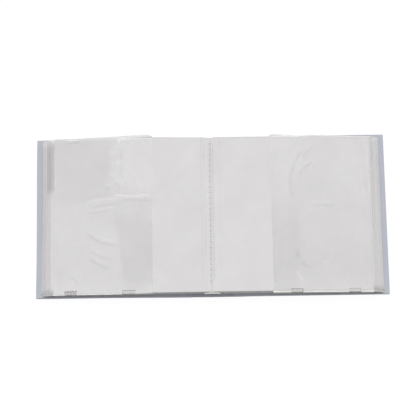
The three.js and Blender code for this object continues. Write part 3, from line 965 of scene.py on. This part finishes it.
def marginLines(look, xs):
    # y of a film's tail and head ends along xs, with the notches cut in
    headLine = np.interp(xs, *np.array(look["head"]).T)
    tailLine = np.interp(xs, *np.array(look["tail"]).T) + 0.12 * np.sin(xs / 17)
    for line, key, sign in ((tailLine, "cutTail", 1), (headLine, "cutHead", -1)):
        for low, high in look[key]:
            inside = ease(low - 0.1, low + 0.5, xs) * (1 - ease(high - 0.5, high + 0.1, xs))
            depth = np.maximum(-(pocket["wall"] + 0.15) - sign * line, 0) * look["cutDepth"]
            line += sign * inside * (depth + pocket["ragged"] * np.sign(np.sin(xs * 4.2)))
    return tailLine, headLine


def weldsCrimpsAndPaintedLight(look, x, y, onTop):
    # Milky welds along the margins with a painted highlight along the folded fore-edge, and grey crimped
    # marks on the upper face with painted shadow along their edges
    wall, foreX, deep = pocket["wall"], look["foreX"], look["tabDepth"]
    # The milky welds, and a painted highlight along the film's folded fore-edge
    weldAndHighlight = np.maximum(ease(wall - 0.6, wall - 0.3, np.abs(y)), 0.7 * ease(foreX - 0.7, foreX - 0.2, x))
    crimpAndShadow = np.zeros(x.shape)
    for key, sign in (("tabsTail", -1), ("tabsHead", 1)):
        for low, high, shadowed, hatched in look[key]:
            inside = ease(low - 0.2, low + 0.2, x) * (1 - ease(high - 0.2, high + 0.2, x))
            into = wall - sign * y
            band = (1 - ease(deep - 0.2, deep + 0.2, into)) * inside * onTop
            # Painted shadow along the tab's inner edge and at its high end; the hatch is the crimp's own
            # mark
            edgeShadow = np.maximum(bell(into - deep + 0.5, 0.5), bell(x - high + 0.4, 0.4))
            hatch = 0.5 + 0.5 * np.sin(x * 2.1 - 1.3 * y)
            fade = 0.35 + 0.5 * (into / deep).clip(0, 1)
            mark = np.maximum(edgeShadow * shadowed, fade * (0.4 + 0.6 * hatch) * hatched)
            crimpAndShadow = np.maximum(crimpAndShadow, band * mark)
            if sign > 0:
                weldAndHighlight = np.maximum(weldAndHighlight, 0.8 * band)
    return weldAndHighlight, crimpAndShadow


def pocketSkin(name, mirrored, look, broadReflection):
    # Film from the mouth to the fore-edge over the page, round the edge and back under it. Its margins
    # past the paper are pinched together, notched and crimped.
    wall, mouth, foreX = pocket["wall"], look["mouth"], look["foreX"]
    xs = np.concatenate([np.linspace(mouth, foreX - 2, 180), np.linspace(foreX - 1.6, foreX + 0.03, 5)])
    inner = np.linspace(-wall + 0.25, wall - 0.25, 240)
    tailLine, headLine = marginLines(look, xs)
    marginSteps = np.linspace(0, 1, 9)
    tailY = -wall - (-wall - tailLine)[:, None] * marginSteps[::-1]
    headY = wall + (headLine - wall)[:, None] * marginSteps
    y = np.concatenate([tailY, np.broadcast_to(inner, (len(xs), len(inner))), headY], 1)
    x = np.broadcast_to(xs[:, None], y.shape)
    within = 1 - ease(wall - 0.6, wall, np.abs(y))
    offset = pocket["pageOffset"] * (0.1 + 0.9 * within)
    middleZ = layerZ(x, pageBottom) + block["paper"] / 2 + pageWave(x, y)
    # Painted reflection: broad patches, and lighter and darker lines along the creases
    hazeAndReflection = broadReflection(x, y)
    wrinkle = np.zeros(x.shape)
    for tone, width, height, *line in look["creases"]:
        away, inside = crease(x, y, np.reshape(line, (-1, 2)))
        hazeAndReflection = hazeAndReflection + look["contrast"] * tone * inside * bell(away, width)
        wrinkle = wrinkle + height * inside * bell(away, 1.25 * width)
    puff = pocket["puff"] * np.sin(np.pi * np.clip((y + 80) / 160, 0, 1)) * ease(mouth, mouth + 40, x)
    calm = ease(0, 5, foreX - x) * ease(0, 4, wall - np.abs(y))
    wrinkle = wrinkle + ripple(x, y, [(19, 35, 0.03, 0.5), (27, 120, 0.04, 1.9), (11, 80, 0.015, 0.1)])
    past = ease(wall, wall + 1.2, np.abs(y))
    slow, quick = pocket["flutter"]
    flutter = past * (slow * np.sin(x / 8.5 + 1) + quick * np.sin(x / 3.1))
    if mirrored:
        flutter += pocket["mouthLift"] * past * bell(x - 66, 9) * (y > 0)
    upperZ = middleZ + offset + (np.maximum(wrinkle, -0.06) + puff) * calm + flutter
    lowerZ = middleZ - offset + flutter
    turn = np.radians(np.linspace(90, -90, 9))[1:-1, None]
    edgeX = x[-1] + offset[-1] * np.cos(turn)
    edgeZ = (upperZ[-1] + lowerZ[-1]) / 2 + (upperZ[-1] - lowerZ[-1]) / 2 * np.sin(turn)
    edge = joined(edgeX, y[-1], edgeZ)
    grid = np.concatenate([joined(x, y, upperZ), edge, joined(x, y, lowerZ)[::-1]])
    hazeAndReflection = np.concatenate([hazeAndReflection, np.zeros(edge.shape[:2]), np.zeros(hazeAndReflection.shape)])
    x, y = grid[..., 0], grid[..., 1]
    weldAndHighlight, crimpAndShadow = weldsCrimpsAndPaintedLight(look, x, y, np.arange(len(grid))[:, None] < len(xs))
    out, fall = pageLean(x, y, mirrored)
    grid[..., 0] += out
    grid[..., 1] -= fall
    return gridPiece(name, mirrored, [grid], {"weldAndHighlight": weldAndHighlight, "crimpAndShadow": crimpAndShadow, "hazeAndReflection": hazeAndReflection})


for side, mirrored in sides:
    look, broadReflection = (leftPocket, leftReflection) if mirrored else (rightPocket, rightReflection)
    piece = pocketSkin(side + "_pocket_skin", mirrored, look, broadReflection)
    dress(piece, "pocket", side + "_leaf", "clear_film", side + "_pocket_film")
print("open pockets made")


# Sewing

def twistedThread(name, x, shift):
    # Running stitch: straight runs over and under the paper joined by S bends, then a two-ply round
    # section whose radius swells twice a turn while it twists along the path.
    bend = spread["threadBend"]
    z0 = float(layerZ(abs(x), pageBottom)) + block["paper"] / 2
    turn = np.radians(np.linspace(-90, 90, 9))
    starts = stitchStarts(shift)[:, None, None]
    half = spread["over"] / 2
    middle = np.array([[-half - bend], [half + bend]])
    along = np.sign(turn) * bend * (1 - np.cos(turn))
    climb = np.array([[1], [-1]]) * bend * np.sin(turn)
    pathY = (starts + middle + along).ravel()
    pathZ = (np.zeros_like(starts) + climb).ravel() + z0
    run = np.concatenate([[0], np.cumsum(np.hypot(np.diff(pathY), np.diff(pathZ)))])
    s = np.linspace(0, run[-1], int(run[-1] / spread["threadStep"]))
    y, z = np.interp(s, run, pathY), np.interp(s, run, pathZ)
    slope = np.arctan2(np.gradient(z), np.gradient(y))[:, None]
    angle = np.linspace(0, 2 * np.pi, 9)[:-1]
    twist = 2 * np.pi * s[:, None] / spread["twistLength"]
    swell = np.cos(2 * (angle - twist))
    radius = spread["threadRadius"] * (0.87 + 0.13 * swell)
    up = radius * np.sin(angle)
    pz = z[:, None] + up * np.cos(slope)
    pz = np.where(pz < z0, z0 + spread["threadPress"] * (pz - z0), pz) - gutterDip(abs(x))
    grid = joined(x + radius * np.cos(angle), y[:, None] - up * np.sin(slope), pz)
    grid = np.concatenate([grid, grid[:, :1]], 1)
    # Painted shade in the grooves between the two plies, pale on their crests
    plyGrooveShade = np.concatenate([swell, swell[:, :1]], 1) * 0.5 + 0.5
    for end in (0, -1):
        grid[end] = grid[end].mean(0)
    return gridPiece(name, False, [grid], {"plyGrooveShade": plyGrooveShade}, merge=True)


leftThread = twistedThread("left_thread", -spread["stitchLeft"], 0)
dress(leftThread, "thread", "left_leaf", "thread", "left_stitching")
rightThread = twistedThread("right_thread", spread["stitchRight"], spread["pitch"] / 2)
dress(rightThread, "thread", "right_fold", "thread", "right_stitching")

lining = {
    "half": 8.0,
    "top": 11.2,
    "drop": 4.3,
    "thick": 0.25,
    "tail": -82.3,
    "head": 79.6,
    "flare": 0.3,  # the tail end opens out of the arch by this much, and its very edge curls up by curl
    "curl": 0.6,
}


def backLining(side, mirrored):
    # A low arch: its height falls with the square of the distance from the middle.
    x, y = np.meshgrid(np.linspace(0, lining["half"], 33),
                       np.linspace(lining["tail"], lining["head"], 130), indexing="ij")
    frayed = 0.15 * np.sin(x * 5.3) * ease(lining["tail"] + 0.6, lining["tail"], y)
    flare = 1 - ease(-81, -74, y)
    curl = 1 - ease(-82.0, -80.4, y)
    z = lining["top"] - lining["drop"] * (x / lining["half"]) ** 2 * (1 - 0.8 * flare)
    z = z + lining["flare"] * flare + lining["curl"] * curl
    z = z + 0.05 * flare * np.sin(x * 3.4)
    return sideSheet("lining_cloth_" + side, mirrored, x, y + frayed, z, z - lining["thick"])


# Each half of the lining goes with the spine
for side, mirrored in sides:
    stoodFor = ["back_lining"] if mirrored else []
    piece = dress(backLining(side, mirrored), "lining", "spine", "white_paper", *stoodFor)
    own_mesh(piece)
print("sewing made")


# Studio

studio = {
    "floorSize": 6.0,  # metres
    "floorDrop": 0.05,  # below the case, in millimetres
    "floorGlow": 0.95,
    "sun": 1.93,
    "sunElevation": 50,
    "sunTurn": -8,
    "sunAngle": 26,
    "sky": 0.455,
}


def seenMask(g):
    # 1 where a surface is looked at, straight or in a film or a gloss, and 0 where it only gives light
    path = g.node("LightPath")
    seen = g.math("MAXIMUM", path.outputs["Is Camera Ray"], path.outputs["Is Transmission Ray"])
    return g.math("MAXIMUM", seen, path.outputs["Is Glossy Ray"])


half = studio["floorSize"] / 2 / millimetre
corners = [(-half, -half), (half, -half), (half, half), (-half, half)]
floorPoints = np.array([(x, y, -studio["floorDrop"]) for x, y in corners])
floor = makePiece("floor", floorPoints, np.array([[0, 1, 2, 3]]))
material, g, shader = newMaterial("floor")[:3]
seen = seenMask(g)
g.fill(shader, {
    "Base Color": g.mix(seen, "floorBounce", "floorSeen"),
    "Roughness": 1.0,
    "Specular IOR Level": 0.0,
    "Emission Color": "white",
    "Emission Strength": g.times(seen, studio["floorGlow"]),
})
floor.data.materials.append(material)

world = bpy.data.worlds.new("studio")
scene.world = world
world.use_nodes = True
g = Graph(world.node_tree)
background = next(n for n in g.tree.nodes if n.type == "BACKGROUND")
g.fill(background, {"Color": "white", "Strength": g.mapRange(seenMask(g), 0, 1, studio["sky"], 1.0)})

lamp = bpy.data.lights.new("soft_lamp", "SUN")
lamp.energy = studio["sun"]
lamp.angle = math.radians(studio["sunAngle"])
lampObject = bpy.data.objects.new("soft_lamp", lamp)
scene.collection.objects.link(lampObject)
elevation, turn = math.radians(studio["sunElevation"]), math.radians(studio["sunTurn"])
level = math.cos(elevation)
toLamp = Vector((math.sin(turn) * level, math.cos(turn) * level, math.sin(elevation)))
lampObject.rotation_euler = toLamp.to_track_quat("Z", "Y").to_euler()

view = {
    "target": (0, 0, 0.006),
    "distance": 1.5429,
    "elevation": 74.884,
    "azimuth": -0.7525,
    "roll": -1.587,
    "focal": 1531.7,  # this and the shift are in widths of a pixel of the photograph
    "shift": (3.4865, 7.0662),
    "frame": 416,
}
el, az, roll = (math.radians(view[k]) for k in ("elevation", "azimuth", "roll"))
back = Vector((-math.sin(az) * math.cos(el), -math.cos(az) * math.cos(el), math.sin(el)))
right = (-back).cross(Vector((0, 0, 1))).normalized()
up = right.cross(-back)
rightTurned = right * math.cos(roll) + up * math.sin(roll)
upTurned = up * math.cos(roll) - right * math.sin(roll)
camera = bpy.data.cameras.new("photo_camera")
camera.sensor_width = 36
camera.lens = view["focal"] / view["frame"] * camera.sensor_width
camera.shift_x = -view["shift"][0] / view["frame"]
camera.shift_y = view["shift"][1] / view["frame"]
camera.clip_start, camera.clip_end = 0.05, 20
cameraObject = bpy.data.objects.new("photo_camera", camera)
scene.collection.objects.link(cameraObject)
turnMatrix = Matrix((rightTurned, upTurned, back)).transposed()
stand = Vector(view["target"]) + back * view["distance"]
cameraObject.matrix_world = Matrix.Translation(stand) @ turnMatrix.to_4x4()
scene.camera = cameraObject
print("studio made")
